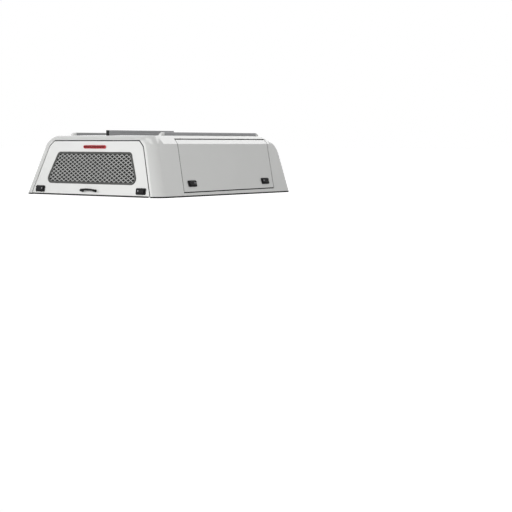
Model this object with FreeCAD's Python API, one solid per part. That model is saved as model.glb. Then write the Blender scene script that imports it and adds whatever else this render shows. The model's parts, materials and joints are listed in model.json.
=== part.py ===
import FreeCAD, Part
import math
import os

# Pickup truck canopy. Millimetres, +Z up, +Y toward the cab, +X the truck's right.
# The origin is the middle of the footprint, on the underside of the base seal.
# Heights are measured from the steel bottom edge, and lengths from the rear door's bottom edge.
# A DROP is measured down from the shoulder, so what belongs to the roof keeps with it.

# Envelope
BASE_HALF_WIDTH = 805.5      # side skin at the steel bottom edge
BODY_LENGTH = 1836.0         # rear door bottom edge to front wall
KINK_X = 653.0               # side skin meets the roof chamfer
KINK_DROP = 70.0
SHOULDER_X = 583.0           # roof chamfer meets the roof
SHOULDER_HEIGHT = 505.0
CROWN_RISE = 5.0            # roof middle above its shoulders
REAR_RAKE = 0.205            # rear face leans forward, per unit of height
REAR_CORNER_R = 92.0
FRONT_CORNER_R = 26.0
SEAL_THICK = 12.0            # rubber below the steel
WALL = 22.0                  # double skin: pressed sheet on a folded frame
FOLD_SHARE = 0.65            # a lining's folded corner, as a share of the round that it replaces
SHEET_THICK = 4.0            # outer sheet of a door with its hem

# Door rebates: the gap all round, the ledge behind it and the rubber on the ledge
DOOR_GAP = 9.0
LEDGE_DEPTH = 12.0           # from the outer skin to the ledge
LEDGE_REACH = 16.0           # how far the ledge passes behind the door
LEDGE_RUBBER = 2.5
FRAME_CLEAR = 6.0            # door's inner frame to the ledge
FRAME_BAND = 46.0            # width of the inner frame

# The roof rolls down into the rear face and into the front wall, each along a curve with one knee
REAR_ROLL_DROP = 47.0
REAR_ROLL_REACH = 76.0       # end of the roll forward of the knee
REAR_ROLL_STEPS = 4
FRONT_ROLL_DROP = 160.0
FRONT_KNEE_DROP = 65.0
FRONT_ROLL_REACH = 160.0
FRONT_ROLL_STEPS = 5
ROLL_RISE = 3.0              # both rolls end this far above the shoulder, on the crown

# Seams between the sheets of the shell
ROOF_SEAM = 25.0             # roof panel edge in from the shoulder
HEADER_SEAM = 40.0           # roof panel edge forward of the rear roll
BROW_SEAM = 12.0             # roof panel edge behind the front roll
CORNER_SEAM = 234.0          # rear corner ends here above the kink
FRONT_SEAM = 112.0           # front corner ends this far behind the front wall above the kink

# Rear door
REAR_POST_WIDE = 106.5       # corner post beside the door, all the way up
REAR_TOP_CUT = 80.0          # top corner of the door in from the shoulder
REAR_DOOR_DROP = 47.0
REAR_DOOR_KINK_DROP = 94.0
REAR_DOOR_BOTTOM = 2.0
WINDOW_TOP_IN = 139.7        # window's top corner in from the door's edge
WINDOW_BOTTOM_IN = 120.6
WINDOW_TOP_DROP = 139.0
WINDOW_BOTTOM_HEIGHT = 96.0
WINDOW_TOP_R = 36.0
WINDOW_BOTTOM_R = 50.0
WINDOW_SEAL = 14.0
WINDOW_SEAL_PROUD = 4.0
GLASS_THICK = 5.0
GLASS_BELOW = 3.0            # screen's back below the door skin
SCREEN_THICK = 2.0
SCREEN_PITCH_X = 54.5
SCREEN_PITCH_V = 33.6
SCREEN_HOLE_X = 40.0
SCREEN_HOLE_V = 24.5
SCREEN_EDGE = 5.0
LAMP_LENGTH = 262.0
LAMP_TALL = 28.0
LAMP_DROP = 97.0
LAMP_PROUD = 12.0
LAMP_RIM = 4.0
LAMP_END_R = 13.0
HANDLE_LENGTH = 180.0        # between the feet
HANDLE_HEIGHT = 40.0
HANDLE_ARCH = 12.0           # middle of the grip above its feet
HANDLE_BAR = 13.0
HANDLE_REACH = 34.0
HANDLE_FOOT_R = 11.0
BOTTOM_RUBBER = 10.0         # hangs below the rear door
BOTTOM_RUBBER_THICK = 14.0
BOTTOM_RUBBER_LAP = 12.0     # held behind the door's inner frame

# Side doors
SIDE_DOOR_REAR = 336.0
SIDE_DOOR_REAR_BOTTOM = 31.0
SIDE_POST_FRONT = 236.0      # door's lower front corner behind the front wall
SIDE_DOOR_FRONT_BOTTOM = 38.0
SIDE_DOOR_LEAN = 0.2
SIDE_FRONT_GAP = 6.0         # narrower than the gap at the door's other edges
HINGE_DROP = 29.0

# Locks, placed along and up the skin they sit on
LOCK_LENGTH = 105.0
LOCK_TALL = 56.0
LOCK_CUT = 10.0
LOCK_PLATE = 4.0
LOCK_RIM = 5.0
LOCK_DEPTH = 9.0
PADDLE_LENGTH = 78.0
PADDLE_TALL = 34.0
PADDLE_THICK = 4.5
PADDLE_CUT = 6.0
PADDLE_PIN_DROP = 4.0        # pin below the paddle's upper edge
PIN_R = 2.2
PIN_PLAY = 0.3
LUG_THICK = 4.0
LUG_GAP = 3.5                # paddle's end to lug
LUG_R = 5.0
REAR_LOCK_IN = 99.0          # middle of the lock from the door's bottom corner
REAR_LOCK_HEIGHT = 40.0
SIDE_LOCK_IN_REAR = 126.0
SIDE_LOCK_IN_FRONT = 108.0
SIDE_LOCK_HEIGHT = 98.0

# Hinges: two knuckles on one pin line, in the gap
KNUCKLE_R = 3.4
KNUCKLE_LENGTH = 30.0
KNUCKLE_PLAY = 0.3
KNUCKLE_WEB = 3.5
SIDE_HINGE_IN_REAR = 130.0   # first hinge from the door's rear edge
SIDE_HINGE_IN_FRONT = 133.0
REAR_HINGE_X = 340.0
REAR_PIN_BELOW = 2.0         # rear pin line below the skin

# Roof rails
RAIL_IN = 57.0               # rail middle in from the shoulder
RAIL_WIDE = 34.0
RAIL_TALL = 29.0
RAIL_REAR = 330.0
RAIL_FRONT_BACK = 140.0      # rail end behind the front wall
CENTRE_RAIL_TALL = 43.0
CENTRE_RAIL_REAR = 240.0
CENTRE_RAIL_LENGTH = 860.0
RAIL_RAMP = 42.0
RAIL_FOOT = 9.0              # upright end below the ramp

TINY = 0.001
BELOW = 60.0                 # how far cutting shapes reach past the part
FAR = 3000.0

STEEL = SEAL_THICK
KINK_HEIGHT = SHOULDER_HEIGHT - KINK_DROP
HINGE_HEIGHT = SHOULDER_HEIGHT - HINGE_DROP
REAR_DOOR_TOP = SHOULDER_HEIGHT - REAR_DOOR_DROP
REAR_DOOR_KINK = SHOULDER_HEIGHT - REAR_DOOR_KINK_DROP
SIDE_LEAN = (BASE_HALF_WIDTH - KINK_X) / KINK_HEIGHT
CHAMFER = (KINK_X - SHOULDER_X) / (SHOULDER_HEIGHT - KINK_HEIGHT)
REAR_TILT = math.atan(REAR_RAKE)
SIDE_TILT = math.atan(SIDE_LEAN)
REAR_STRETCH = math.hypot(1.0, REAR_RAKE)
SIDE_STRETCH = math.hypot(1.0, SIDE_LEAN)
SIDE_DOOR_FRONT = BODY_LENGTH - SIDE_POST_FRONT
HANDLE_FOOT_V = HANDLE_HEIGHT * REAR_STRETCH - HANDLE_ARCH / 2
REAR_MOST = math.sin(REAR_TILT) * (HANDLE_FOOT_V - HANDLE_FOOT_R) - math.cos(REAR_TILT) * HANDLE_REACH
MIDDLE_Y = (REAR_MOST + BODY_LENGTH) / 2
PARTS = {}


def vec(x, y, z=0.0):
    return FreeCAD.Vector(x, y, z)


def lines(points):
    """The straight lines of a profile, each as its value at height zero and its slope."""
    out = []
    for (h0, v0), (h1, v1) in zip(points, points[1:]):
        slope = (v1 - v0) / (h1 - h0)
        out.append((v0 - slope * h0, slope))
    return out


def roll(start, knee, end, steps):
    """Points from start to end on a curve that leaves and arrives along the lines through the knee."""
    points = []
    for i in range(steps + 1):
        t = i / steps
        a, b, c = (1 - t) ** 2, 2 * t * (1 - t), t ** 2
        points.append(tuple(a * p + b * q + c * r for p, q, r in zip(start, knee, end)))
    return points


# Each as height and distance along the body
roll_end = SHOULDER_HEIGHT + ROLL_RISE
rear_start = SHOULDER_HEIGHT - REAR_ROLL_DROP
REAR_ROLL = roll((rear_start, rear_start * REAR_RAKE), (roll_end, roll_end * REAR_RAKE),
                 (roll_end, roll_end * REAR_RAKE + REAR_ROLL_REACH), REAR_ROLL_STEPS)
front_start = SHOULDER_HEIGHT - FRONT_ROLL_DROP
FRONT_ROLL = roll((front_start, BODY_LENGTH), (SHOULDER_HEIGHT - FRONT_KNEE_DROP, BODY_LENGTH),
                  (roll_end, BODY_LENGTH - FRONT_ROLL_REACH), FRONT_ROLL_STEPS)
SIDE_LINES = lines([(0.0, BASE_HALF_WIDTH), (KINK_HEIGHT, KINK_X), (SHOULDER_HEIGHT, SHOULDER_X)])
REAR_LINES = lines([(0.0, 0.0)] + REAR_ROLL)
FRONT_LINES = [(BODY_LENGTH, 0.0)] + lines(FRONT_ROLL)


def side_x(height):
    return min(a + b * height for a, b in SIDE_LINES)


def moved_in(profile, inset, sign):
    return [(a + sign * inset * math.hypot(1.0, b), b) for a, b in profile]


def crossings(profile):
    return [(a1 - a0) / (b0 - b1) for (a0, b0), (a1, b1) in zip(profile, profile[1:])]


def plan_wire(half, rear, front, r_rear, r_front, height, folded):
    """A rectangle with rounded or folded corners, always eight edges in the same order."""
    quarter = math.pi / 2
    if folded:
        r_rear, r_front = r_rear * FOLD_SHARE, r_front * FOLD_SHARE
    corners = [(half, rear, r_rear, 1, -1), (half, front, r_front, 1, 1),
               (-half, front, r_front, -1, 1), (-half, rear, r_rear, -1, -1)]
    ends, arcs = [], []
    for i, (x, y, r, sx, sy) in enumerate(corners):
        cx, cy = x - sx * r, y - sy * r
        pts = [vec(cx + r * math.cos(a), cy + r * math.sin(a), height)
               for a in (quarter * (i - 1), quarter * (i - 0.5), quarter * i)]
        ends.append((pts[0], pts[2]))
        arcs.append(Part.makeLine(pts[0], pts[2]) if folded else Part.Arc(*pts).toShape())
    edges = []
    for i in range(len(corners)):
        edges.append(arcs[i])
        edges.append(Part.makeLine(ends[i][1], ends[(i + 1) % len(corners)][0]))
    return Part.Wire(edges)


def flat_face(face):
    """The same face on a true plane, when all its edges are straight."""
    spans = [edge.Vertexes[0].Point.distanceToPoint(edge.Vertexes[-1].Point) for edge in face.Edges]
    if all(edge.Length - span < TINY for edge, span in zip(face.Edges, spans)):
        return Part.Face(Part.makePolygon([v.Point for v in face.OuterWire.OrderedVertexes] +
                                          [face.OuterWire.OrderedVertexes[0].Point]))
    return face


def hull(inset, floor):
    """The canopy's envelope, moved inward by inset, from the height floor up. Linings have folded corners."""
    side = moved_in(SIDE_LINES, inset, -1)
    rear = moved_in(REAR_LINES, inset, 1)
    front = moved_in(FRONT_LINES, inset, -1)
    top = SHOULDER_HEIGHT + 2 * CROWN_RISE
    heights = sorted(h for h in crossings(side) + crossings(rear) + crossings(front) if floor < h < top)
    levels = [floor]
    for h in heights:
        if h - levels[-1] > SHEET_THICK:
            levels.append(h)
    levels.append(top)
    wires = []
    for h in levels:
        half = min(a + b * h for a, b in side)
        back = max(a + b * h for a, b in rear)
        fore = min(a + b * h for a, b in front)
        wires.append(plan_wire(half, back, fore, REAR_CORNER_R - inset, FRONT_CORNER_R - inset, STEEL + h,
                               inset > 0))
    loft = Part.makeLoft(wires, True, True)
    shell = Part.makeShell([flat_face(face) for face in loft.Faces])
    shell.sewShape()
    body = Part.makeSolid(shell)
    radius = (SHOULDER_X ** 2 + CROWN_RISE ** 2) / (2 * CROWN_RISE)
    middle = STEEL + SHOULDER_HEIGHT + CROWN_RISE - radius
    return body.common(Part.makeCylinder(radius - inset, FAR, vec(0, -BELOW, middle), vec(0, 1, 0)))


def box(x0, x1, y0, y1, z0, z1):
    return Part.makeBox(x1 - x0, y1 - y0, z1 - z0, vec(x0, y0, z0))


def fillet_outline(points, radii):
    """A flat face through the points, each corner rounded by its own radius."""
    pts = [vec(*p) for p in points]
    edges, first, last = [], None, None
    for i, (here, radius) in enumerate(zip(pts, radii)):
        back = (pts[i - 1] - here).normalize()
        ahead = (pts[(i + 1) % len(pts)] - here).normalize()
        angle = math.acos(max(-1.0, min(1.0, back.dot(ahead))))
        reach = radius / math.tan(angle / 2)
        middle = (back + ahead).normalize()
        centre = here + middle * (radius / math.sin(angle / 2))
        start, end = here + back * reach, here + ahead * reach
        if last is not None:
            edges.append(Part.makeLine(last, start))
        else:
            first = start
        edges.append(Part.Arc(start, centre - middle * radius, end).toShape())
        last = end
    edges.append(Part.makeLine(last, first))
    return Part.Face(Part.Wire(edges))


def outline(points):
    pts = [vec(*p) for p in points]
    return Part.Face(Part.makePolygon(pts + pts[:1]))


def plate(points, low, high, radii=None):
    """A flat sheet between two levels, its corners rounded when radii are given."""
    face = fillet_outline(points, radii) if radii else outline(points)
    face.translate(vec(0, 0, low))
    return face.extrude(vec(0, 0, high - low))


def rectangle(cx, cy, length, tall):
    return [(cx - length / 2, cy - tall / 2), (cx + length / 2, cy - tall / 2),
            (cx + length / 2, cy + tall / 2), (cx - length / 2, cy + tall / 2)]


def cut_rectangle(cx, cy, length, tall, cut):
    """A rectangle with its corners cut off."""
    a, b = length / 2, tall / 2
    return [(cx - a + cut, cy - b), (cx + a - cut, cy - b), (cx + a, cy - b + cut), (cx + a, cy + b - cut),
            (cx + a - cut, cy + b), (cx - a + cut, cy + b), (cx - a, cy + b - cut), (cx - a, cy - b + cut)]


def grown(points, by):
    """A convex outline, given anticlockwise, with every side moved outward."""
    out = []
    for i in range(len(points)):
        (x0, y0), (x1, y1), (x2, y2) = points[i - 1], points[i], points[(i + 1) % len(points)]
        n0, n1 = math.hypot(x1 - x0, y1 - y0), math.hypot(x2 - x1, y2 - y1)
        a = ((y1 - y0) / n0, -(x1 - x0) / n0)
        b = ((y2 - y1) / n1, -(x2 - x1) / n1)
        scale = by / (1 + a[0] * b[0] + a[1] * b[1])
        out.append((x1 + (a[0] + b[0]) * scale, y1 + (a[1] + b[1]) * scale))
    return out


def on_rear(shape):
    """From a flat drawing (x across, y up, z outward) onto the raked rear face."""
    s, c = math.sin(REAR_TILT), math.cos(REAR_TILT)
    return shape.transformed(FreeCAD.Matrix(1, 0, 0, 0, 0, s, -c, 0, 0, c, s, STEEL, 0, 0, 0, 1))


def on_right(shape):
    """From a flat drawing (x forward, y up the skin, z outward) onto the right side skin."""
    s, c = math.sin(SIDE_TILT), math.cos(SIDE_TILT)
    return shape.transformed(FreeCAD.Matrix(0, -s, c, BASE_HALF_WIDTH, 1, 0, 0, 0, 0, c, s, STEEL, 0, 0, 0, 1))


def mirrored(shape):
    return shape.mirror(vec(0, 0, 0), vec(1, 0, 0))


def keep(name, shape):
    solids = [s for s in shape.Solids if s.Volume > TINY]
    PARTS[name] = solids[0] if len(solids) == 1 else Part.makeCompound(solids)


def both_sides(name, shape):
    keep("right_" + name, shape)
    keep("left_" + name, mirrored(shape))


# The envelope at the depths where sheets meet
outer = hull(0.0, 0.0)
under_skin = hull(SHEET_THICK, -BELOW)
rubber_top = hull(LEDGE_DEPTH - LEDGE_RUBBER, -BELOW)
ledge = hull(LEDGE_DEPTH, -BELOW)
inner = hull(WALL, -BELOW)
walls = outer.cut(inner)

# Rear door outline, seen from behind, anticlockwise
rear_bottom_half = side_x(REAR_DOOR_BOTTOM) - REAR_POST_WIDE
rear_kink_half = side_x(REAR_DOOR_KINK) - REAR_POST_WIDE
rear_top_half = SHOULDER_X - REAR_TOP_CUT
rear_v = [h * REAR_STRETCH for h in (REAR_DOOR_BOTTOM, REAR_DOOR_KINK, REAR_DOOR_TOP)]
rear_outline = [(-rear_bottom_half, rear_v[0]), (rear_bottom_half, rear_v[0]), (rear_kink_half, rear_v[1]),
                (rear_top_half, rear_v[2]), (-rear_top_half, rear_v[2]), (-rear_kink_half, rear_v[1])]
# The doorway runs on down past the base, along the same side edges
edge_slope = (rear_bottom_half - rear_kink_half) / (rear_v[1] - rear_v[0])
low_half = rear_bottom_half + edge_slope * (rear_v[0] + BELOW)
doorway = [(-low_half, -BELOW), (low_half, -BELOW)] + rear_outline[2:]


def rear_block(grow):
    return on_rear(plate(grown(doorway, grow), -REAR_CORNER_R, BELOW))


def side_outline(grow):
    """The side door's outline as length and height, the gap's share taken off at the hinge."""
    top = HINGE_HEIGHT - DOOR_GAP / 2 + grow
    rear_low = (SIDE_DOOR_REAR - grow, SIDE_DOOR_REAR_BOTTOM - grow)
    front_low = (SIDE_DOOR_FRONT + min(grow, SIDE_FRONT_GAP), SIDE_DOOR_FRONT_BOTTOM - grow)
    return [rear_low, front_low, (front_low[0] + SIDE_DOOR_LEAN * (top - front_low[1]), top),
            (rear_low[0] + SIDE_DOOR_LEAN * (top - rear_low[1]), top)]


def side_prism(points):
    """A length and height outline as a block through the right side."""
    pts = [vec(SHOULDER_X - 2 * BELOW, y, STEEL + h) for y, h in points]
    return Part.Face(Part.makePolygon(pts + pts[:1])).extrude(vec(BASE_HALF_WIDTH, 0, 0))


def side_block(grow):
    return side_prism(side_outline(grow))


# Each opening: its full size through the outer skin, smaller by the ledge further in
rear_step, rear_through = rear_block(DOOR_GAP), rear_block(-LEDGE_REACH)
side_step, side_through = side_block(DOOR_GAP), side_block(-LEDGE_REACH)
frame = walls
for step, through in ((rear_step, rear_through), (side_step, side_through),
                      (mirrored(side_step), mirrored(side_through))):
    frame = frame.cut(through).cut(step.cut(ledge))

# Shell pieces
top_z = STEEL + SHOULDER_HEIGHT + BELOW
kink_z = STEEL + KINK_HEIGHT
rail_x = SHOULDER_X - ROOF_SEAM
header_y = REAR_ROLL[-1][1] + HEADER_SEAM
brow_y = BODY_LENGTH - FRONT_ROLL_REACH - BROW_SEAM
front_seam_y = BODY_LENGTH - FRONT_SEAM
brow_z = STEEL + front_start
header_z = STEEL + REAR_DOOR_KINK
split_z = STEEL + HINGE_HEIGHT / 2


def upright_seam(base, low, shift, back):
    """The block behind or before a line that leans as the side door's edges do."""
    y0 = base + shift - SIDE_DOOR_LEAN * (low + BELOW)
    y1 = base + shift + SIDE_DOOR_LEAN * (KINK_HEIGHT - low)
    end = -BELOW if back else BODY_LENGTH + BELOW
    pts = [(end, -BELOW), (y0, -BELOW), (y1, KINK_HEIGHT), (end, KINK_HEIGHT)]
    return side_prism(pts)


seam_shift = LEDGE_REACH + SHEET_THICK
rear_zone = upright_seam(SIDE_DOOR_REAR, SIDE_DOOR_REAR_BOTTOM, seam_shift, True)
rear_zone = rear_zone.fuse(box(rear_kink_half - REAR_POST_WIDE, FAR, -BELOW, CORNER_SEAM, 0.0, top_z))
front_zone = upright_seam(SIDE_DOOR_FRONT, SIDE_DOOR_FRONT_BOTTOM, -seam_shift, False)
front_zone = front_zone.fuse(box(rail_x, FAR, front_seam_y, FAR, 0.0, top_z))

keep("roof_panel", frame.common(box(-rail_x, rail_x, header_y, brow_y, kink_z, top_z)))
keep("roof_rear_header", frame.common(box(-rail_x, rail_x, -BELOW, header_y, header_z, top_z)))
keep("roof_front_header", frame.common(box(-rail_x, rail_x, brow_y, FAR, brow_z, top_z)))
keep("front_wall", frame.common(box(-rail_x, rail_x, BODY_LENGTH / 2, FAR, 0.0, brow_z)))
rear_corner = frame.common(rear_zone).cut(box(0.0, rail_x, -BELOW, FAR, header_z, top_z))
both_sides("rear_corner", rear_corner)
side_band = frame.common(box(rail_x, FAR, -BELOW, FAR, 0.0, top_z)).cut(rear_zone)
both_sides("front_corner", side_band.common(front_zone))
side_band = side_band.cut(front_zone)
both_sides("cant_rail", side_band.common(box(0.0, FAR, 0.0, FAR, split_z, top_z)))
both_sides("side_sill", side_band.common(box(0.0, FAR, 0.0, FAR, 0.0, split_z)))

# Rubber under the steel, open at the rear door, and on the ledges
foot = [f for f in walls.Faces if abs(f.CenterOfMass.z - STEEL) < 0.01 and abs(f.normalAt(0, 0).z) > 0.99]
base_rubber = foot[0].extrude(vec(0, 0, -SEAL_THICK))
keep("base_seal", base_rubber.cut(box(-rear_bottom_half - DOOR_GAP, rear_bottom_half + DOOR_GAP,
                                      -BELOW, BELOW, -BELOW, STEEL)))
rubber_layer = outer.common(rubber_top).cut(ledge)
keep("rear_opening_seal", rubber_layer.common(rear_step).cut(rear_through))
both_sides("side_opening_seal", rubber_layer.common(side_step).cut(side_through))


def rail(x, rear, front, tall):
    """A roof bar with ramped ends, its foot shaped to the crowned roof."""
    low = STEEL + SHOULDER_HEIGHT - RAIL_FOOT
    roof = CROWN_RISE * (1.0 - (x / SHOULDER_X) ** 2)
    high = STEEL + SHOULDER_HEIGHT + roof + tall
    knee = high - tall + RAIL_FOOT
    side = x - RAIL_WIDE / 2
    pts = [vec(side, rear, low), vec(side, front, low), vec(side, front, knee), vec(side, front - RAIL_RAMP, high),
           vec(side, rear + RAIL_RAMP, high), vec(side, rear, knee)]
    return Part.Face(Part.makePolygon(pts + pts[:1])).extrude(vec(RAIL_WIDE, 0, 0)).cut(outer)


both_sides("roof_rail", rail(SHOULDER_X - RAIL_IN, RAIL_REAR, BODY_LENGTH - RAIL_FRONT_BACK, RAIL_TALL))
keep("centre_roof_rail", rail(0.0, CENTRE_RAIL_REAR, CENTRE_RAIL_REAR + CENTRE_RAIL_LENGTH, CENTRE_RAIL_TALL))

# Rear door, drawn flat and laid on the raked face
window_levels = [(WINDOW_BOTTOM_HEIGHT, WINDOW_BOTTOM_IN), (SHOULDER_HEIGHT - WINDOW_TOP_DROP, WINDOW_TOP_IN)]
window_right = [(side_x(h) - REAR_POST_WIDE - inward, h * REAR_STRETCH) for h, inward in window_levels]
window = window_right + [(-u, v) for u, v in reversed(window_right)]
screen_back = -GLASS_BELOW


def window_radii(shrink):
    return [r - shrink for r in (WINDOW_BOTTOM_R, WINDOW_TOP_R, WINDOW_TOP_R, WINDOW_BOTTOM_R)]


def window_plate(shrink, low, high):
    return plate(grown(window, -shrink), low, high, window_radii(shrink))


keep("rear_door_panel", on_rear(plate(rear_outline, -SHEET_THICK, 0.0).cut(window_plate(0.0, -BELOW, BELOW))))
frame_edge = LEDGE_REACH + FRAME_CLEAR
inner_frame = plate(grown(rear_outline, -frame_edge), -WALL, -SHEET_THICK)
keep("rear_door_inner_frame", on_rear(inner_frame.cut(plate(grown(rear_outline, -frame_edge - FRAME_BAND),
                                                            -BELOW, BELOW))))
keep("rear_window_seal", on_rear(window_plate(0.0, -SHEET_THICK - GLASS_THICK, WINDOW_SEAL_PROUD).cut(
    window_plate(WINDOW_SEAL, -BELOW, BELOW))))
keep("rear_window_glass", on_rear(window_plate(WINDOW_SEAL, screen_back - GLASS_THICK, screen_back)))


def screen():
    """A flat sheet with staggered diamond holes, none of them cut by its edge."""
    inset = WINDOW_SEAL + SCREEN_EDGE
    rim = fillet_outline(grown(window, -WINDOW_SEAL), window_radii(WINDOW_SEAL))
    clear = fillet_outline(grown(window, -inset), window_radii(inset))
    wires = [rim.OuterWire]
    low, high = window_right[0][1], window_right[-1][1]
    rows = int((high - low) / SCREEN_PITCH_V)
    columns = int(window_right[0][0] / SCREEN_PITCH_X) + 1
    for row in range(-rows, rows + 1):
        v = (low + high) / 2 + row * SCREEN_PITCH_V / 2
        shift = (row % 2) / 2
        for col in range(-columns, columns + 1):
            u = (col + shift) * SCREEN_PITCH_X
            tips = [vec(u - SCREEN_HOLE_X / 2, v), vec(u, v - SCREEN_HOLE_V / 2),
                    vec(u + SCREEN_HOLE_X / 2, v), vec(u, v + SCREEN_HOLE_V / 2)]
            if all(clear.isInside(t, 0.01, True) for t in tips):
                wires.append(Part.makePolygon(tips + tips[:1]))
    face = Part.Face(wires)
    face.translate(vec(0, 0, screen_back))
    return face.extrude(vec(0, 0, SCREEN_THICK))


keep("rear_window_screen", on_rear(screen()))

lamp_v = (SHOULDER_HEIGHT - LAMP_DROP) * REAR_STRETCH
housing = rectangle(0.0, lamp_v, LAMP_LENGTH, LAMP_TALL)
keep("brake_lamp_housing", on_rear(plate(housing, 0.0, LAMP_PROUD / 2, [LAMP_END_R] * len(housing))))
lens = rectangle(0.0, lamp_v, LAMP_LENGTH - 2 * LAMP_RIM, LAMP_TALL - 2 * LAMP_RIM)
keep("brake_lamp_lens", on_rear(plate(lens, LAMP_PROUD / 2, LAMP_PROUD, [LAMP_END_R - LAMP_RIM] * len(lens))))


def bow_handle():
    """Two round feet and a grip that arches up between them."""
    half = HANDLE_LENGTH / 2
    radius = (half ** 2 + HANDLE_ARCH ** 2) / (2 * HANDLE_ARCH)
    centre_v = HANDLE_FOOT_V + HANDLE_ARCH - radius
    spread = math.asin(half / radius)

    def arc(r):
        pts = [vec(r * math.sin(a), centre_v + r * math.cos(a)) for a in (-spread, 0.0, spread)]
        return pts, Part.Arc(*pts).toShape()

    high, top_edge = arc(radius + HANDLE_BAR / 2)
    low, bottom_edge = arc(radius - HANDLE_BAR / 2)
    face = Part.Face(Part.Wire([top_edge, Part.makeLine(high[2], low[2]), bottom_edge,
                                Part.makeLine(low[0], high[0])]))
    face.translate(vec(0, 0, HANDLE_REACH - HANDLE_BAR))
    grip = face.extrude(vec(0, 0, HANDLE_BAR))
    feet = [Part.makeCylinder(HANDLE_FOOT_R, HANDLE_REACH, vec(side * half, HANDLE_FOOT_V, 0.0)) for side in (-1, 1)]
    return grip.fuse(feet)


keep("rear_pull_handle", on_rear(bow_handle()))

door_low = rear_outline[0][1]


def rubber_strip(half, high, low, top):
    return plate([(-half, door_low - BOTTOM_RUBBER), (half, door_low - BOTTOM_RUBBER),
                  (half, high), (-half, high)], low, top)


# A lip below the door skin, and a thick part behind it that passes between the ledges
lip = rubber_strip(rear_bottom_half - DOOR_GAP, door_low, -SHEET_THICK, 0.0)
thick = rubber_strip(rear_bottom_half - frame_edge, door_low + BOTTOM_RUBBER_LAP, -BOTTOM_RUBBER_THICK, -SHEET_THICK)
keep("rear_door_seal", on_rear(lip.fuse(thick)))


# Locks: a cupped plate with two lugs, and a paddle on a pin between them
def pin_line(v):
    return v + PADDLE_TALL / 2 - PADDLE_PIN_DROP, LOCK_DEPTH + PADDLE_THICK / 2


def lock_housing(u, v):
    base = plate(cut_rectangle(u, v, LOCK_LENGTH, LOCK_TALL, LOCK_CUT), 0.0, LOCK_DEPTH)
    base = base.cut(plate(cut_rectangle(u, v, LOCK_LENGTH - 2 * LOCK_RIM, LOCK_TALL - 2 * LOCK_RIM,
                                        LOCK_CUT - LOCK_RIM / 2), LOCK_PLATE, BELOW))
    pin_v, pin_w = pin_line(v)
    for side in (-1, 1):
        x = u + side * (PADDLE_LENGTH / 2 + LUG_GAP + LUG_THICK / 2)
        base = base.fuse(box(x - LUG_THICK / 2, x + LUG_THICK / 2, pin_v - LUG_R, pin_v + LUG_R,
                             LOCK_PLATE, pin_w + LUG_R))
    hole = PIN_R + PIN_PLAY
    half = PADDLE_LENGTH / 2 + LUG_GAP + LUG_THICK
    return base.cut(box(u - half, u + half, pin_v - hole, pin_v + hole, pin_w - hole, pin_w + hole))


def lock_paddle(u, v):
    blade = plate(cut_rectangle(u, v, PADDLE_LENGTH, PADDLE_TALL, PADDLE_CUT), LOCK_DEPTH,
                  LOCK_DEPTH + PADDLE_THICK)
    pin_v, pin_w = pin_line(v)
    reach = PADDLE_LENGTH + 2 * (LUG_GAP + LUG_THICK)
    return blade.fuse(Part.makeCylinder(PIN_R, reach, vec(u - reach / 2, pin_v, pin_w), vec(1, 0, 0)))


rear_lock_x = rear_bottom_half - REAR_LOCK_IN
rear_lock_v = REAR_LOCK_HEIGHT * REAR_STRETCH
side_lock_v = SIDE_LOCK_HEIGHT * SIDE_STRETCH
side_lock_rear = SIDE_DOOR_REAR + SIDE_LOCK_IN_REAR
side_lock_front = SIDE_DOOR_FRONT - SIDE_LOCK_IN_FRONT
keep("rear_lock_housings", on_rear(Part.makeCompound([lock_housing(-rear_lock_x, rear_lock_v),
                                                      lock_housing(rear_lock_x, rear_lock_v)])))
keep("rear_right_lock_paddle", on_rear(lock_paddle(rear_lock_x, rear_lock_v)))
keep("rear_left_lock_paddle", on_rear(lock_paddle(-rear_lock_x, rear_lock_v)))
both_sides("side_lock_housings", on_right(Part.makeCompound([lock_housing(side_lock_rear, side_lock_v),
                                                             lock_housing(side_lock_front, side_lock_v)])))
both_sides("side_rear_lock_paddle", on_right(lock_paddle(side_lock_rear, side_lock_v)))
both_sides("side_front_lock_paddle", on_right(lock_paddle(side_lock_front, side_lock_v)))

# Side doors
sheet = outer.cut(under_skin)
lining = outer.common(under_skin).cut(inner)
both_sides("side_door_panel", sheet.common(side_block(0.0)))
both_sides("side_door_inner_frame", lining.common(side_block(-frame_edge)).cut(side_block(-frame_edge - FRAME_BAND)))


def knuckle(at, above):
    """Half a hinge along X: its ends and its barrel, for the fixed half above or the door's below."""
    start = at + KNUCKLE_PLAY / 2 if above else at - KNUCKLE_PLAY / 2 - KNUCKLE_LENGTH
    return start, start + KNUCKLE_LENGTH, Part.makeCylinder(KNUCKLE_R, KNUCKLE_LENGTH, vec(start, 0, 0), vec(1, 0, 0))


def rear_hinges(above):
    v = rear_outline[3][1] + DOOR_GAP / 2
    out = []
    for at in (-REAR_HINGE_X, REAR_HINGE_X):
        x0, x1, barrel = knuckle(at, above)
        low, high = (0.0, DOOR_GAP / 2) if above else (-DOOR_GAP / 2, 0.0)
        out.append(barrel.fuse(box(x0, x1, low, high, -KNUCKLE_WEB / 2, KNUCKLE_WEB / 2)))
    solid = Part.makeCompound(out)
    solid.translate(vec(0, v, -REAR_PIN_BELOW))
    return on_rear(solid)


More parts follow.
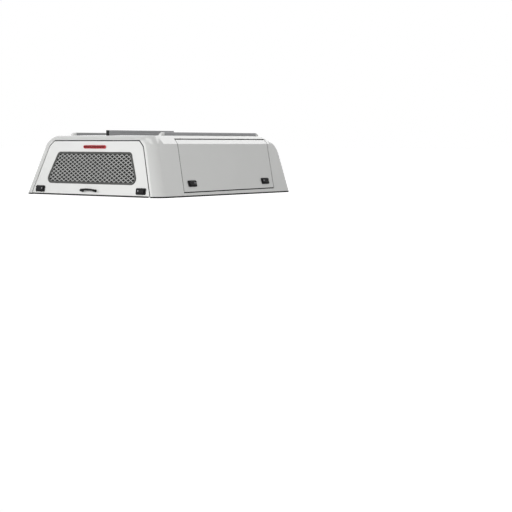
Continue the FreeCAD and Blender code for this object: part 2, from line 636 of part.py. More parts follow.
def side_hinges(above):
    """The pin line lies on the chamfer's skin; a web reaches each edge beside the gap."""
    rear_at = SIDE_DOOR_REAR + SIDE_DOOR_LEAN * (HINGE_HEIGHT - SIDE_DOOR_REAR_BOTTOM) + SIDE_HINGE_IN_REAR
    front_at = SIDE_DOOR_FRONT + SIDE_DOOR_LEAN * (HINGE_HEIGHT - SIDE_DOOR_FRONT_BOTTOM) - SIDE_HINGE_IN_FRONT
    out = []
    for at in (rear_at, (rear_at + front_at) / 2, front_at):
        y0, y1, barrel = knuckle(at, above)
        edge = CHAMFER * DOOR_GAP / 2
        if above:
            web = box(y0, y1, edge - KNUCKLE_WEB, edge + KNUCKLE_WEB, 0.0, DOOR_GAP / 2)
        else:
            web = box(y0, y1, -edge + KNUCKLE_WEB / 4, KNUCKLE_WEB / 4, -DOOR_GAP / 2, 0.0)
        out.append(barrel.fuse(web))
    solid = Part.makeCompound(out)
    x = KINK_X - CHAMFER * (HINGE_HEIGHT - KINK_HEIGHT)
    return solid.transformed(FreeCAD.Matrix(0, -1, 0, x, 1, 0, 0, 0, 0, 0, 1, STEEL + HINGE_HEIGHT, 0, 0, 0, 1))


keep("rear_fixed_hinges", rear_hinges(True))
keep("rear_door_hinges", rear_hinges(False))
both_sides("fixed_hinges", side_hinges(True))
both_sides("door_hinges", side_hinges(False))

os.makedirs("parts", exist_ok=True)
for name, shape in PARTS.items():
    shape.translate(vec(0.0, -MIDDLE_Y, 0.0))
    shape.exportStep(os.path.join("parts", name + ".step"))
    b = shape.optimalBoundingBox()
    print("%-26s solids %2d faces %4d  x %.1f..%.1f y %.1f..%.1f z %.1f..%.1f" % (
        name, len(shape.Solids), len(shape.Faces), b.XMin, b.XMax, b.YMin, b.YMax, b.ZMin, b.ZMax))
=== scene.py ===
import bpy
import bmesh
import json
import math
from mathutils import Matrix, Vector


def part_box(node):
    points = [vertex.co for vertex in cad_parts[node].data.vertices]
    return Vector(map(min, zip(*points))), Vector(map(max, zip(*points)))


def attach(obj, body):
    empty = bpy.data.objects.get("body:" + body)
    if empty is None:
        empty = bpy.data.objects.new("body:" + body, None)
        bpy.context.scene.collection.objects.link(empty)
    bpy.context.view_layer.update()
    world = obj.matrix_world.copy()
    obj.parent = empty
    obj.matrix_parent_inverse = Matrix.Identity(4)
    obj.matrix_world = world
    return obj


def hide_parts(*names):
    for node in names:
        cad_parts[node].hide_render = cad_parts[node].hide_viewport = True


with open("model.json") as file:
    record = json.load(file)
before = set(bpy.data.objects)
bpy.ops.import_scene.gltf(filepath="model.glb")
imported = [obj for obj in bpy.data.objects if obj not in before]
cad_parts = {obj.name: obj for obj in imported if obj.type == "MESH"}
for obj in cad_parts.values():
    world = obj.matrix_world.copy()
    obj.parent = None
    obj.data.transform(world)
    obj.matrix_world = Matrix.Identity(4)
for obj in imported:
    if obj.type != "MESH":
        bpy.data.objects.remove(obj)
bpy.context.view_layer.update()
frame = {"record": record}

# Lengths are in millimetres on the part, as in its source; the scene is in metres
MM = 0.001
STEEL = 12.0                   # rubber below the steel
MIDDLE_Y = 903.739             # rear door's bottom edge to the middle of the part
BASE_HALF_WIDTH = 805.5
KINK_HEIGHT, KINK_IN = 435.0, 152.5
REAR_RAKE = 0.205
REAR_TILT = math.atan(REAR_RAKE)
SIDE_TILT = math.atan(KINK_IN / KINK_HEIGHT)
REAR_STRETCH = 1.0 / math.cos(REAR_TILT)
SIDE_STRETCH = 1.0 / math.cos(SIDE_TILT)
SHELL_BODY = "shell"
REAR_BODY = "rear_door"


def on_rear(u, v, w):
    """Across, up the face and outward, on the raked rear face."""
    s, c = math.sin(REAR_TILT), math.cos(REAR_TILT)
    return Vector((u, s * v - c * w - MIDDLE_Y, c * v + s * w + STEEL)) * MM


def on_side(sign):
    """Forward, up the skin and outward, on the right (1) or left (-1) side."""
    s, c = math.sin(SIDE_TILT), math.cos(SIDE_TILT)

    def place(u, v, w):
        x, z = BASE_HALF_WIDTH - s * v + c * w, c * v + s * w + STEEL
        return Vector((sign * x, u - MIDDLE_Y, z)) * MM
    return place


def upright(x, y, z):
    """Across, forward from the rear door's bottom edge, and up."""
    return Vector((x, y - MIDDLE_Y, z)) * MM


# Materials: colour, roughness and relief each come from their own noise
COAT_ROUGH = 0.08
NOISE_ROUGH = 0.55
NOISE_DETAIL = 4.0
RAMP_LOW, RAMP_HIGH = 0.3, 0.7


def new_material(name, colour, rough, metal=0.0, coat=0.0, spec=0.5):
    m = bpy.data.materials.new(name)
    m.use_nodes = True
    nt = m.node_tree
    b = nt.nodes["Principled BSDF"]
    b.inputs["Base Color"].default_value = (*colour, 1.0)
    b.inputs["Roughness"].default_value = rough
    b.inputs["Metallic"].default_value = metal
    b.inputs["Coat Weight"].default_value = coat
    b.inputs["Coat Roughness"].default_value = COAT_ROUGH
    b.inputs["Specular IOR Level"].default_value = spec
    return m, nt, b


def noise(nt, scale, detail=NOISE_DETAIL, stretch=None):
    n = nt.nodes.new("ShaderNodeTexNoise")
    n.inputs["Scale"].default_value = scale
    n.inputs["Detail"].default_value = detail
    n.inputs["Roughness"].default_value = NOISE_ROUGH
    source = nt.nodes.new("ShaderNodeTexCoord").outputs["Object"]
    if stretch:
        mapping = nt.nodes.new("ShaderNodeMapping")
        mapping.inputs["Scale"].default_value = stretch
        nt.links.new(source, mapping.inputs["Vector"])
        source = mapping.outputs["Vector"]
    nt.links.new(source, n.inputs["Vector"])
    return n.outputs["Fac"]


def ramp(nt, source, low, high):
    r = nt.nodes.new("ShaderNodeValToRGB")
    ends = r.color_ramp.elements
    ends[0].position, ends[1].position = RAMP_LOW, RAMP_HIGH
    ends[0].color, ends[1].color = (*low, 1.0), (*high, 1.0)
    nt.links.new(source, r.inputs["Fac"])
    return r.outputs["Color"]


def tint(nt, b, colour, spread, scale, stretch=None):
    low = [c * (1.0 - spread) for c in colour]
    high = [min(1.0, c * (1.0 + spread)) for c in colour]
    nt.links.new(ramp(nt, noise(nt, scale, stretch=stretch), low, high), b.inputs["Base Color"])


def roughen(nt, b, rough, spread, scale):
    low, high = [rough - spread] * 3, [rough + spread] * 3
    nt.links.new(ramp(nt, noise(nt, scale), low, high), b.inputs["Roughness"])


def relief(nt, b, scale, distance, strength, detail=NOISE_DETAIL, stretch=None):
    bump = nt.nodes.new("ShaderNodeBump")
    bump.inputs["Distance"].default_value = distance
    bump.inputs["Strength"].default_value = strength
    nt.links.new(noise(nt, scale, detail, stretch), bump.inputs["Height"])
    nt.links.new(bump.outputs["Normal"], b.inputs["Normal"])


def surface(name, colour, tint_by, rough, rough_by, relief_by=None, **shader):
    """tint_by and rough_by are (spread, scale); relief_by is (scale, distance, strength)."""
    m, nt, b = new_material(name, colour, rough, **shader)
    tint(nt, b, colour, *tint_by)
    roughen(nt, b, rough, *rough_by)
    if relief_by:
        relief(nt, b, *relief_by)
    return m


ALONG_RAIL = (1.0, 0.04, 1.0)
ALONG_RAIL_RELIEF = (1.0, 0.02, 1.0)
paint = surface("silver_paint", (0.66, 0.665, 0.65), (0.012, 3.0), 0.20, (0.02, 9.0),
                (1400.0, 0.00002, 0.35, 2.0), coat=1.0, spec=0.8)
black = surface("black_plastic", (0.010, 0.010, 0.011), (0.25, 40.0), 0.40, (0.05, 120.0),
                (900.0, 0.0001, 0.5), spec=0.15)
rubber = surface("seal_rubber", (0.012, 0.012, 0.012), (0.3, 60.0), 0.75, (0.06, 90.0),
                 (700.0, 0.0001, 0.7), spec=0.2)
frame_rubber = surface("window_rubber", (0.072, 0.074, 0.070), (0.15, 50.0), 0.52, (0.06, 90.0),
                       (800.0, 0.0001, 0.5), spec=0.4)
glass = surface("dark_glass", (0.005, 0.006, 0.006), (0.2, 5.0), 0.12, (0.03, 12.0), spec=0.12)
screen = surface("screen_steel", (0.50, 0.505, 0.495), (0.07, 60.0), 0.45, (0.06, 80.0),
                 (500.0, 0.00008, 0.6))
lens = surface("red_lens", (0.17, 0.002, 0.004), (0.12, 60.0), 0.22, (0.03, 40.0), spec=0.2)
lamp_rim = surface("red_lamp_rim", (0.66, 0.020, 0.030), (0.08, 80.0), 0.28, (0.04, 60.0), spec=0.3)
alu = surface("rail_aluminium", (0.36, 0.36, 0.37), (0.05, 25.0, ALONG_RAIL), 0.40, (0.06, 60.0),
              (300.0, 0.00005, 0.4, NOISE_DETAIL, ALONG_RAIL_RELIEF), metal=0.25)
# Outer rail caps: a light colour, brightened to white as a painted highlight of the lamps on the
# rear-facing ramps
cap_light_and_painted_highlight = surface("rail_cap_light_and_painted_highlight", (0.80, 0.80, 0.79), (0.02, 40.0), 0.35, (0.04, 80.0), spec=0.4)
steel = surface("hinge_steel", (0.030, 0.030, 0.032), (0.15, 60.0), 0.42, (0.06, 90.0),
                metal=0.2, spec=0.3)
chrome = surface("key_cylinder", (0.30, 0.30, 0.31), (0.08, 300.0), 0.24, (0.06, 200.0), metal=0.9)

BY_SLOT = {"body_paint": paint, "black_plastic": black, "rubber": rubber, "dark_glass": glass,
           "screen_steel": screen, "red_lens": lens, "rail_aluminium": alu, "hinge_steel": steel}
for part in frame["record"]["subparts"]:
    ob = bpy.data.objects.get(part["node"])
    if ob is not None:
        for i in range(len(ob.material_slots)):
            ob.material_slots[i].material = BY_SLOT[part["material_slot"]]

# Angles in degrees, widths in metres
SMOOTH_ROUND, SMOOTH_SKIN, SMOOTH_FLAT = 40.0, 30.0, 20.0
SMOOTH_GRIP = 50.0
WELD = 1e-7
CAD_WELD = 1e-6
FLAT_WITHIN = 0.6
BEVEL_ABOVE = 40.0


# Mesh helpers
def piece(name, mesh, material, body, smooth, replaces=()):
    verts, faces = mesh
    me = bpy.data.meshes.new(name)
    me.from_pydata([tuple(v) for v in verts], [], faces)
    bm = bmesh.new()
    bm.from_mesh(me)
    bmesh.ops.remove_doubles(bm, verts=bm.verts, dist=WELD)
    bmesh.ops.recalc_face_normals(bm, faces=bm.faces)
    bm.to_mesh(me)
    bm.free()
    return finish_piece(name, me, material, body, smooth, replaces)


def finish_piece(name, me, material, body, smooth, replaces):
    me.materials.clear()
    me.materials.append(material)
    me.shade_smooth()
    me.set_sharp_from_angle(angle=math.radians(smooth))
    ob = bpy.data.objects.new(name, me)
    bpy.context.scene.collection.objects.link(ob)
    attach(ob, body)
    if replaces:
        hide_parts(*replaces)
    return ob


def rounded(points, inset, radii, steps=8):
    """A convex outline, anticlockwise, moved inward; one corner radius for all or one each."""
    pts = [Vector(p) for p in points]
    radii = radii if isinstance(radii, list) else [radii] * len(pts)
    out = []
    for i, (here, radius) in enumerate(zip(pts, radii)):
        a = (here - pts[i - 1]).normalized()
        b = (pts[(i + 1) % len(pts)] - here).normalized()
        na, nb = Vector((a.y, -a.x)), Vector((b.y, -b.x))
        centre = here - (na + nb) * ((inset + radius) / (1.0 + na.dot(nb)))
        start, end = math.atan2(na.y, na.x), math.atan2(nb.y, nb.x)
        if end < start:
            end += 2.0 * math.pi
        for k in range(steps + 1):
            t = start + (end - start) * k / steps
            out.append(centre + Vector((math.cos(t), math.sin(t))) * radius)
    return out


def circle(cx, cy, r, n):
    turn = 2 * math.pi / n
    return [Vector((cx + r * math.cos(turn * k), cy + r * math.sin(turn * k))) for k in range(n)]


def stack(rings, place, closed=False):
    """Vertices and faces through rings of (outline, level), each outline with as many points."""
    verts, faces = [], []
    n, count = len(rings[0][0]), len(rings)
    for outline, w in rings:
        verts += [place(p[0], p[1], w) for p in outline]
    for r in range(count if closed else count - 1):
        a, b = r * n, ((r + 1) % count) * n
        faces += [(a + k, a + (k + 1) % n, b + (k + 1) % n, b + k) for k in range(n)]
    if not closed:
        faces.append(tuple(range(n))[::-1])
        faces.append(tuple(range((count - 1) * n, count * n)))
    return verts, faces


def block(place, cx, cy, length, tall, corner, steps, profile, ease=1.0):
    """A rounded rectangle through (inset, level) pairs; ease takes the inset off the corners."""
    a, b = length / 2, tall / 2
    box = [(cx - a, cy - b), (cx + a, cy - b), (cx + a, cy + b), (cx - a, cy + b)]
    return stack([(rounded(box, s, corner - s * ease, steps), w) for s, w in profile], place)


def turned(place, cx, cy, sides, profile):
    """A turned form through (radius, level) pairs."""
    return stack([(circle(cx, cy, r, sides), w) for r, w in profile], place)


def merged(*groups):
    verts, faces = [], []
    for v, f in groups:
        base = len(verts)
        verts += v
        faces += [tuple(base + i for i in face) for face in f]
    return verts, faces


def softened(name, node, body, width, segments):
    """A copy of a painted CAD node with small rounds on its edges, shown instead of it."""
    src = bpy.data.objects[node]
    me = src.data.copy()
    bm = bmesh.new()
    bm.from_mesh(me)
    bmesh.ops.remove_doubles(bm, verts=bm.verts, dist=CAD_WELD)
    bmesh.ops.dissolve_limit(bm, angle_limit=math.radians(FLAT_WITHIN), verts=bm.verts,
                             edges=bm.edges)
    bm.to_mesh(me)
    bm.free()
    if me.has_custom_normals:
        me.normals_split_custom_set([(0.0, 0.0, 0.0)] * len(me.loops))
    me.transform(src.matrix_world)
    ob = finish_piece(name, me, paint, body, SMOOTH_SKIN, (node,))
    mod = ob.modifiers.new("edges", "BEVEL")
    mod.width = width
    mod.segments = segments
    mod.limit_method = "ANGLE"
    mod.angle_limit = math.radians(BEVEL_ABOVE)
    mod.harden_normals = True


# Rear window: corners at their heights, and the rubber's section as (inset, level)
WINDOW = [(-551.0, 91.0), (551.0, 91.0), (435.0, 366.0), (-435.0, 366.0)]
WINDOW = [(u, h * REAR_STRETCH) for u, h in WINDOW]
WINDOW_R = (50.0, 50.0, 36.0, 36.0)
BEAD = [(5.4, -9.0), (5.4, 0.1), (0.0, 0.1), (0.2, 1.2), (1.0, 2.6), (2.6, 3.6), (5.0, 4.0),
        (9.0, 3.9), (11.6, 3.2), (13.0, 2.3), (14.2, 2.0), (16.6, 1.8), (18.4, 1.1), (19.6, -0.2),
        (20.0, -1.4), (20.0, -2.6), (18.6, -2.8), (18.6, -9.0)]


def window_outline(inset):
    return rounded(WINDOW, inset, [r - inset for r in WINDOW_R])


bead = stack([(window_outline(s), w) for s, w in BEAD], on_rear, closed=True)
piece("window_rubber", bead, frame_rubber, REAR_BODY, SMOOTH_ROUND,
      ("rear_window_seal",))

# Screen: a lattice of diamond cells, each strand ridged along its middle, cut off at the bead
PITCH_U, PITCH_V, HOLE_U, HOLE_V = 54.5, 33.6, 43.0, 26.5
STRAND_TOP, STRAND_EDGE, STRAND_BACK, SCREEN_INSET = -1.0, -2.2, -3.0, 18.2
CUT_WITHIN, LATTICE_WELD = 1e-4, 1e-3


def diamond(u, v, across, tall, w):
    return [(u + across / 2, v, w), (u, v + tall / 2, w), (u - across / 2, v, w),
            (u, v - tall / 2, w)]


def lattice():
    """The strands' upper faces on the flat, clipped to the window."""
    low, high = WINDOW[0][1], WINDOW[2][1]
    rows, columns = int((high - low) / PITCH_V) + 1, int(WINDOW[1][0] / PITCH_U) + 2
    bm = bmesh.new()
    for row in range(-rows, rows + 1):
        for col in range(-columns, columns + 1):
            u, v = (col + (row % 2) / 2) * PITCH_U, (low + high) / 2 + row * PITCH_V / 2
            ridge = [bm.verts.new(p) for p in diamond(u, v, PITCH_U, PITCH_V, STRAND_TOP)]
            edge = [bm.verts.new(p) for p in diamond(u, v, HOLE_U, HOLE_V, STRAND_EDGE)]
            for k in range(4):
                bm.faces.new((ridge[k], ridge[(k + 1) % 4], edge[(k + 1) % 4], edge[k]))
    border = window_outline(SCREEN_INSET)
    for a, b in zip(border, border[1:] + border[:1]):
        out = Vector((b.y - a.y, a.x - b.x, 0.0)).normalized()
        bmesh.ops.bisect_plane(bm, geom=bm.verts[:] + bm.edges[:] + bm.faces[:], dist=CUT_WITHIN,
                               plane_co=(a.x, a.y, 0.0), plane_no=out, clear_outer=True)
    bmesh.ops.remove_doubles(bm, verts=bm.verts, dist=LATTICE_WELD)
    return bm


def screen_mesh():
    """The lattice on the rear face, with a flat back and walls between."""
    bm = lattice()
    bm.verts.index_update()
    tops = [v.co.copy() for v in bm.verts]
    faces = [tuple(v.index for v in face.verts) for face in bm.faces]
    rims = [(e.link_loops[0].vert.index, e.link_loops[0].link_loop_next.vert.index)
            for e in bm.edges if len(e.link_faces) == 1]
    bm.free()
    n = len(tops)
    verts = [on_rear(*p) for p in tops] + [on_rear(p[0], p[1], STRAND_BACK) for p in tops]
    backs = [tuple(n + i for i in reversed(face)) for face in faces]
    return verts, faces + backs + [(b, a, a + n, b + n) for a, b in rims]


piece("window_screen", screen_mesh(), screen, REAR_BODY, SMOOTH_FLAT,
      ("rear_window_screen",))

# Shell and door skins; edge rounds in metres
SHELL_EDGE, DOOR_EDGE = 0.0007, 0.0012
SHELL_SKINS = ["roof_panel", "roof_rear_header", "roof_front_header", "front_wall"]
SHELL_SKINS += [side + "_" + part for side in ("left", "right")
                for part in ("rear_corner", "front_corner", "cant_rail", "side_sill")]
for node in SHELL_SKINS:
    softened(node + "_skin", node, SHELL_BODY, SHELL_EDGE, 2)
softened("rear_door_skin", "rear_door_panel", REAR_BODY, DOOR_EDGE, 3)
for side in ("left", "right"):
    softened(side + "_side_door_skin", side + "_side_door_panel", side + "_side_door", DOOR_EDGE, 3)

# Brake lamp: rim and lens, as (inset, level)
LAMP_BOX = (0.0, 408.0 * REAR_STRETCH, 262.0, 28.0)
LAMP_CORNER, LAMP_STEPS = 13.9, 10
LAMP_RIM = [(0.0, 0.0), (0.0, 8.2), (0.8, 10.4), (2.4, 11.6), (4.0, 11.6), (5.2, 10.6), (5.6, 9.0)]
LAMP_LENS = [(5.7, 8.4), (5.7, 9.2), (6.6, 10.2), (8.4, 10.9), (10.6, 11.2)]
piece("lamp_rim", block(on_rear, *LAMP_BOX, LAMP_CORNER, LAMP_STEPS, LAMP_RIM), lamp_rim,
      REAR_BODY, SMOOTH_ROUND, ("brake_lamp_housing",))
piece("lamp_lens", block(on_rear, *LAMP_BOX, LAMP_CORNER, LAMP_STEPS, LAMP_LENS), lens,
      REAR_BODY, SMOOTH_ROUND, ("brake_lamp_lens",))

# Pull handle: an oval grip on a shallow arc, thicker in the middle, between two turned feet
HANDLE_HALF, HANDLE_ARCH, HANDLE_LEVEL = 76.0, 4.0, 27.0
HANDLE_V, FOOT_DOWN = 37.0, 3.0
GRIP_TALL, GRIP_DEEP, GRIP_SWELL = 7.8, 6.4, 0.14
GRIP_STEPS, GRIP_SIDES, FOOT_SIDES = 36, 20, 28
FOOT = [(13.4, 0.0), (13.4, 2.4), (12.8, 3.4), (11.8, 4.0), (11.2, 7.0), (10.8, 14.0),
        (11.0, 22.0), (11.2, 27.0), (10.6, 30.0), (8.6, 32.0), (4.6, 33.0)]


def grip():
    radius = (HANDLE_HALF ** 2 + HANDLE_ARCH ** 2) / (2 * HANDLE_ARCH)
    spread = math.asin(HANDLE_HALF / radius)
    verts, faces = [], []
    for k in range(GRIP_STEPS + 1):
        t = -spread + 2 * spread * k / GRIP_STEPS
        u, v = radius * math.sin(t), HANDLE_V + HANDLE_ARCH - radius + radius * math.cos(t)
        swell = 1.0 + GRIP_SWELL * math.cos(math.pi * u / (2 * HANDLE_HALF)) ** 2
        for j in range(GRIP_SIDES):
            a = 2 * math.pi * j / GRIP_SIDES
            across, out = GRIP_TALL * swell * math.cos(a), GRIP_DEEP * math.sin(a)
            verts.append(on_rear(u + across * math.sin(t), v + across * math.cos(t),
                                 HANDLE_LEVEL + out))
    for k in range(GRIP_STEPS):
        for j in range(GRIP_SIDES):
            a, b = k * GRIP_SIDES + j, k * GRIP_SIDES + (j + 1) % GRIP_SIDES
            faces.append((a, b, b + GRIP_SIDES, a + GRIP_SIDES))
    faces.append(tuple(range(GRIP_SIDES)))
    faces.append(tuple(range(GRIP_STEPS * GRIP_SIDES, (GRIP_STEPS + 1) * GRIP_SIDES))[::-1])
    return verts, faces


feet = [turned(on_rear, sx * HANDLE_HALF, HANDLE_V - FOOT_DOWN, FOOT_SIDES, FOOT) for sx in (-1, 1)]
piece("pull_handle", merged(grip(), *feet), black, REAR_BODY, SMOOTH_GRIP,
      ("rear_pull_handle",))

# Locks: a plate with lugs and screws, and a paddle with its lip, pins and key.
# Profiles are (inset or radius, level).
REAR_LOCK_X = 599.298
REAR_LOCK_V = 40.0 * REAR_STRETCH
SIDE_LOCK_V = 98.0 * SIDE_STRETCH
SIDE_LOCK_REAR, SIDE_LOCK_FRONT = 462.0, 1492.0
LOCK_LENGTH, LOCK_TALL, LOCK_CORNER = 105.0, 56.0, 9.0
LOCK_RIM = [(0.0, 0.0), (0.0, 6.4), (0.5, 7.8), (1.6, 8.7), (3.0, 9.0), (4.2, 9.0), (4.9, 8.5),
            (5.2, 7.4), (5.6, 4.2)]
LUG_X, LUG_WIDE, LUG_TALL, LUG_CORNER = 44.5, 4.0, 10.0, 1.6
LUG = [(0.0, 3.8), (0.0, 15.2), (0.3, 16.0)]
SCREW_X, SCREW_DOWN, SCREW_SIDES = 43.5, 17.0, 18
SCREW = [(3.2, 4.0), (3.2, 5.4), (2.6, 6.0), (1.2, 6.0), (1.1, 5.2)]
PADDLE_LENGTH, PADDLE_TALL, PADDLE_CORNER = 78.0, 34.0, 6.5
PADDLE = [(0.0, 9.0), (0.0, 11.6), (0.5, 12.7), (1.6, 13.3), (3.2, 13.5), (6.4, 13.5), (7.2, 13.0),
          (8.0, 12.8), (10.0, 12.8)]
LIP_DOWN, LIP_LENGTH, LIP_TALL, LIP_CORNER = 11.0, 46.0, 5.0, 2.4
LIP = [(0.0, 12.6), (0.0, 14.2), (0.5, 15.0), (1.2, 15.3)]
PIN_UP, PIN_LEVEL, PIN_R, PIN_SIDES = 13.0, 11.25, 2.2, 16
PIN_START, PIN_END = 38.0, 46.4
KEY_X, KEY_UP, KEY_SIDES = 26.0, 3.0, 28
KEY = [(6.6, 12.6), (6.6, 14.0), (6.1, 14.6), (5.2, 14.8), (4.7, 14.4), (4.5, 13.9), (3.9, 13.9)]
# The key's slot is a black sheet on its face: painted shade of the keyway
KEYWAY_SHADE_WIDE, KEYWAY_SHADE_TALL, KEYWAY_SHADE_CORNER = 1.3, 6.0, 0.5
KEYWAY_SHADE = [(0.0, 13.7), (0.0, 14.1), (0.2, 14.2)]


def pin(u, v, place, sx):
    """A pin across the lock, from the paddle's end into the lug."""
    turn = 2 * math.pi / PIN_SIDES
    verts = [place(x, v + PIN_UP + PIN_R * math.cos(turn * k),
                   PIN_LEVEL + PIN_R * math.sin(turn * k))
             for x in (u + sx * PIN_START, u + sx * PIN_END) for k in range(PIN_SIDES)]
    n = PIN_SIDES
    faces = [(k, (k + 1) % n, n + (k + 1) % n, n + k) for k in range(n)]
    return verts, faces + [tuple(range(n)), tuple(range(n, 2 * n))]


def lock(name, u, v, place, body, lever, nodes, key_side):
    base = block(place, u, v, LOCK_LENGTH, LOCK_TALL, LOCK_CORNER, 8, LOCK_RIM, 0.6)
    lugs = [block(place, u + sx * LUG_X, v + PIN_UP, LUG_WIDE, LUG_TALL, LUG_CORNER, 4, LUG, 0.0)
            for sx in (-1, 1)]
    screws = [turned(place, u + sx * SCREW_X, v - SCREW_DOWN, SCREW_SIDES, SCREW)
              for sx in (-1, 1)]
    piece(name + "_plate", merged(base, *lugs), black, body, SMOOTH_ROUND,
          nodes[:1])
    piece(name + "_screws", merged(*screws), steel, body, SMOOTH_ROUND)
    blade = block(place, u, v, PADDLE_LENGTH, PADDLE_TALL, PADDLE_CORNER, 8, PADDLE, 0.5)
    lip = block(place, u, v - LIP_DOWN, LIP_LENGTH, LIP_TALL, LIP_CORNER, 6, LIP)
    pins = [pin(u, v, place, sx) for sx in (-1, 1)]
    piece(name + "_paddle", merged(blade, lip, *pins), black, lever,
          SMOOTH_ROUND, nodes[1:])
    ku, kv = u + key_side * KEY_X, v + KEY_UP
    piece(name + "_key", turned(place, ku, kv, KEY_SIDES, KEY), chrome, lever,
          SMOOTH_ROUND)
    # Black sheet on the key's face: painted shade of the keyway
    keyway_painted_shade = block(place, ku, kv, KEYWAY_SHADE_WIDE, KEYWAY_SHADE_TALL, KEYWAY_SHADE_CORNER, 3, KEYWAY_SHADE)
    piece(name + "_keyway_painted_shade", keyway_painted_shade, black, lever, SMOOTH_ROUND)


for side, sx in (("left", -1), ("right", 1)):
    lock("rear_%s_lock" % side, sx * REAR_LOCK_X, REAR_LOCK_V, on_rear, REAR_BODY,
         "rear_%s_lock_lever" % side, ("rear_lock_housings", "rear_%s_lock_paddle" % side), -sx)
    for where, u, key_side in (("rear", SIDE_LOCK_REAR, 1), ("front", SIDE_LOCK_FRONT, -1)):
        lock("%s_side_%s_lock" % (side, where), u, SIDE_LOCK_V, on_side(sx), side + "_side_door",
             "%s_side_%s_lock_lever" % (side, where),
             (side + "_side_lock_housings", "%s_side_%s_lock_paddle" % (side, where)), key_side)

# Roof rails: slotted extrusions; the outer ones have ramped caps in a light colour brightened to
# white as a painted highlight of the lamps on their rear-facing ramps, the middle one black ends
RAIL_HALF_WIDTH = 17.0
RAIL_ABOVE = 0.2               # the rail's underside above its CAD box
RAIL_GROOVE, RAIL_EASE, FOOT_EASE = 1.6, 1.6, 1.0
SLOT_MOUTH, SLOT_SIDE, SLOT_LIP, SLOT_DEPTH = 4.0, 7.5, 3.2, 8.2
CAP_EASE = 1.0


def rail_profile(z0, z1, a):
    """Half of the section, from the foot's middle up the outside and into the slot."""
    h, foot = z1 - z0, z0 + RAIL_ABOVE
    return [(0.0, foot), (a - FOOT_EASE, foot), (a, foot + FOOT_EASE), (a, z0 + h * 0.40),
            (a - RAIL_GROOVE, z0 + h * 0.44), (a - RAIL_GROOVE, z0 + h * 0.60),
            (a, z0 + h * 0.64), (a, z1 - RAIL_EASE), (a - RAIL_EASE, z1), (SLOT_MOUTH + 1.0, z1),
            (SLOT_MOUTH, z1 - 1.0), (SLOT_MOUTH, z1 - SLOT_LIP), (SLOT_SIDE, z1 - SLOT_LIP),
            (SLOT_SIDE, z1 - SLOT_DEPTH), (0.0, z1 - SLOT_DEPTH)]


def ramped_cap(z0, z1):
    """A cap seen from the side: six points of (distance from the rail's end, height)."""
    return [(0.0, z0 + RAIL_ABOVE), (42.0, z0 + RAIL_ABOVE), (42.0, z1), (34.0, z1),
            (5.0, z0 + 20.0), (0.4, z0 + 12.0)]


def square_cap(z0, z1):
    return [(0.0, z0 + RAIL_ABOVE), (3.0, z0 + RAIL_ABOVE), (3.0, z1), (1.2, z1), (0.3, z1 - 0.4),
            (0.0, z1 - 1.2)]


def rail(name, node, cap_view, cap_material):
    low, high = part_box(node)
    x = (low[0] + high[0]) / 2 / MM
    y0, y1 = low[1] / MM + MIDDLE_Y, high[1] / MM + MIDDLE_Y
    z0, z1, a = low[2] / MM, high[2] / MM, RAIL_HALF_WIDTH
    view = cap_view(z0, z1)
    cap_length = view[1][0]
    half = rail_profile(z0, z1, a)
    profile = half + [(-px, pz) for px, pz in reversed(half[1:-1])]
    n = len(profile)
    verts = [upright(x + px, y, pz) for y in (y0 + cap_length, y1 - cap_length)
             for px, pz in profile]
    faces = [(k, (k + 1) % n, n + (k + 1) % n, n + k) for k in range(n)]
    faces += [tuple(range(n)), tuple(range(n, 2 * n))]
    piece(name, (verts, faces), alu, SHELL_BODY, SMOOTH_SKIN, (node,))
    sections = ((-a, CAP_EASE), (-a + CAP_EASE, 0.0), (a - CAP_EASE, 0.0), (a, CAP_EASE))
    m = len(view)
    for end, y, sign in (("rear", y0, 1), ("front", y1, -1)):
        verts = []
        for px, ease in sections:
            for i, (d, z) in enumerate(view):
                back, down = ease if i in (0, 4, 5) else 0.0, ease if i in (2, 3, 4) else 0.0
                verts.append(upright(x + px, y + sign * (d + back), z - down))
        faces = [(s * m + k, s * m + (k + 1) % m, (s + 1) * m + (k + 1) % m, (s + 1) * m + k)
                 for s in range(len(sections) - 1) for k in range(m)]
        faces += [tuple(range(m)), tuple(range(3 * m, 4 * m))]
        piece(name + "_cap_" + end, (verts, faces), cap_material, SHELL_BODY,
              SMOOTH_SKIN)


rail("left_rail", "left_roof_rail", ramped_cap, cap_light_and_painted_highlight)
rail("right_rail", "right_roof_rail", ramped_cap, cap_light_and_painted_highlight)
rail("centre_rail", "centre_roof_rail", square_cap, black)

# Camera, as fitted to the photo's edges; its place is in metres
HEADING, PITCH, ROLL = math.radians(37.22), math.radians(5.02), math.radians(0.066)
FOCAL_PX, FRAME_PX, SENSOR = 1288.0, 512.0, 36.0
CAMERA_AT = Vector((7.834, -7.937 - MIDDLE_Y * MM, 0.4447 + STEEL * MM))
CAMERA_REACH = 200.0
forward = Vector((-math.sin(HEADING) * math.cos(PITCH), math.cos(HEADING) * math.cos(PITCH),
                  -math.sin(PITCH)))
level = Vector((math.cos(HEADING), math.sin(HEADING), 0.0))
above = level.cross(forward)
right = level * math.cos(ROLL) + above * math.sin(ROLL)
up = above * math.cos(ROLL) - level * math.sin(ROLL)
cam_data = bpy.data.cameras.new("camera")
cam_data.sensor_width = SENSOR
cam_data.lens = FOCAL_PX / FRAME_PX * SENSOR
cam_data.clip_end = CAMERA_REACH
cam = bpy.data.objects.new("camera", cam_data)
cam.matrix_world = Matrix(((right.x, up.x, -forward.x, CAMERA_AT.x),
                           (right.y, up.y, -forward.y, CAMERA_AT.y),
                           (right.z, up.z, -forward.z, CAMERA_AT.z), (0, 0, 0, 1)))
bpy.context.scene.collection.objects.link(cam)
bpy.context.scene.camera = cam


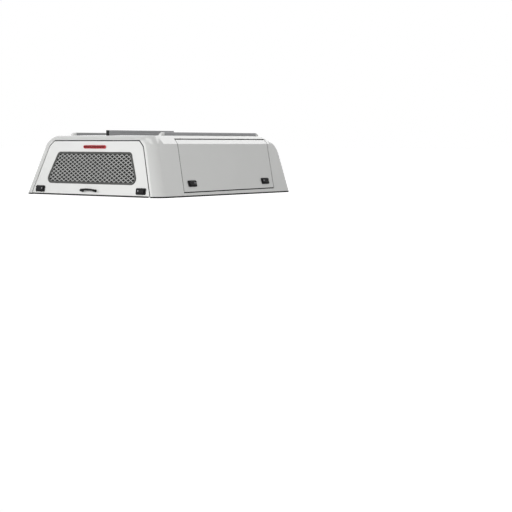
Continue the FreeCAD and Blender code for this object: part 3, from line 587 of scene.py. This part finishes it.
# Floor and world: camera, glossy and transmission rays see a white backdrop
def seen_rays(nt):
    """One for camera, glossy and transmission rays, and otherwise nought."""
    path = nt.nodes.new("ShaderNodeLightPath")
    total = path.outputs["Is Camera Ray"]
    for name in ("Is Glossy Ray", "Is Transmission Ray"):
        m = nt.nodes.new("ShaderNodeMath")
        m.operation = "MAXIMUM"
        nt.links.new(total, m.inputs[0])
        nt.links.new(path.outputs[name], m.inputs[1])
        total = m.outputs["Value"]
    return total


WHITE = (1.0, 1.0, 1.0, 1.0)
FLOOR_SIZE = 80.0
FLOOR_COLOUR, FLOOR_GLOW = (0.9, 0.9, 0.9), 0.68
mesh = bpy.data.meshes.new("floor")
bm = bmesh.new()
bmesh.ops.create_grid(bm, x_segments=1, y_segments=1, size=FLOOR_SIZE)
bm.to_mesh(mesh)
bm.free()
floor = bpy.data.objects.new("floor", mesh)
bpy.context.scene.collection.objects.link(floor)
floor_mat, nt, b = new_material("floor", FLOOR_COLOUR, 0.9, spec=0.1)
tint(nt, b, FLOOR_COLOUR, 0.01, 0.5)
b.inputs["Emission Color"].default_value = WHITE
glow = nt.nodes.new("ShaderNodeMath")
glow.operation = "MULTIPLY"
glow.inputs[1].default_value = FLOOR_GLOW
nt.links.new(seen_rays(nt), glow.inputs[0])
nt.links.new(glow.outputs["Value"], b.inputs["Emission Strength"])
floor.data.materials.append(floor_mat)

WORLD_LOW, WORLD_HIGH = 0.38, 0.33
world = bpy.data.worlds.new("world")
bpy.context.scene.world = world
world.use_nodes = True
nt = world.node_tree
light = nt.nodes["Background"]
light.inputs["Color"].default_value = WHITE
direction = nt.nodes.new("ShaderNodeTexCoord")
split = nt.nodes.new("ShaderNodeSeparateXYZ")
nt.links.new(direction.outputs["Generated"], split.inputs["Vector"])
fade = nt.nodes.new("ShaderNodeMapRange")
fade.inputs["To Min"].default_value = WORLD_LOW
fade.inputs["To Max"].default_value = WORLD_HIGH
nt.links.new(split.outputs["Z"], fade.inputs["Value"])
nt.links.new(fade.outputs["Result"], light.inputs["Strength"])
backdrop = nt.nodes.new("ShaderNodeBackground")
backdrop.inputs["Color"].default_value = WHITE
backdrop.inputs["Strength"].default_value = 1.0
mix = nt.nodes.new("ShaderNodeMixShader")
nt.links.new(seen_rays(nt), mix.inputs["Fac"])
nt.links.new(light.outputs["Background"], mix.inputs[1])
nt.links.new(backdrop.outputs["Background"], mix.inputs[2])
nt.links.new(mix.outputs["Shader"], nt.nodes["World Output"].inputs["Surface"])


# Lamps: name, place, point aimed at, width, height and watts
def area(name, at, look, wide, tall, power):
    d = bpy.data.lights.new(name, "AREA")
    d.shape = "ELLIPSE"
    d.size, d.size_y = wide, tall
    d.energy = power
    o = bpy.data.objects.new(name, d)
    o.location = at
    o.rotation_euler = (Vector(look) - Vector(at)).to_track_quat("-Z", "Y").to_euler()
    # Seen in the roof from the front, this lamp would turn it white
    o.visible_glossy = name != "key_right"
    bpy.context.scene.collection.objects.link(o)


DOORS_AT, ROOF_AT, FRONT_ROOF_AT = (0.0, -0.9, 0.25), (0.0, -0.9, 0.4), (0.0, 0.0, 0.4)
LAMPS = (("key_left", (-3.6, -5.8, 2.6), DOORS_AT, 4.4, 4.4, 80.0),
         ("key_rear", (1.4, -6.5, 1.6), DOORS_AT, 3.0, 3.0, 18.0),
         ("key_right", (4.0, -5.6, 1.6), DOORS_AT, 7.0, 3.0, 122.0),
         ("top_front", (0.0, 4.6, 4.2), FRONT_ROOF_AT, 3.2, 3.2, 33.0),
         ("top", (0.3, -0.9, 5.4), ROOF_AT, 3.0, 3.0, 28.0))
for lamp in LAMPS:
    area(*lamp)

bpy.context.scene.view_settings.view_transform = "Standard"
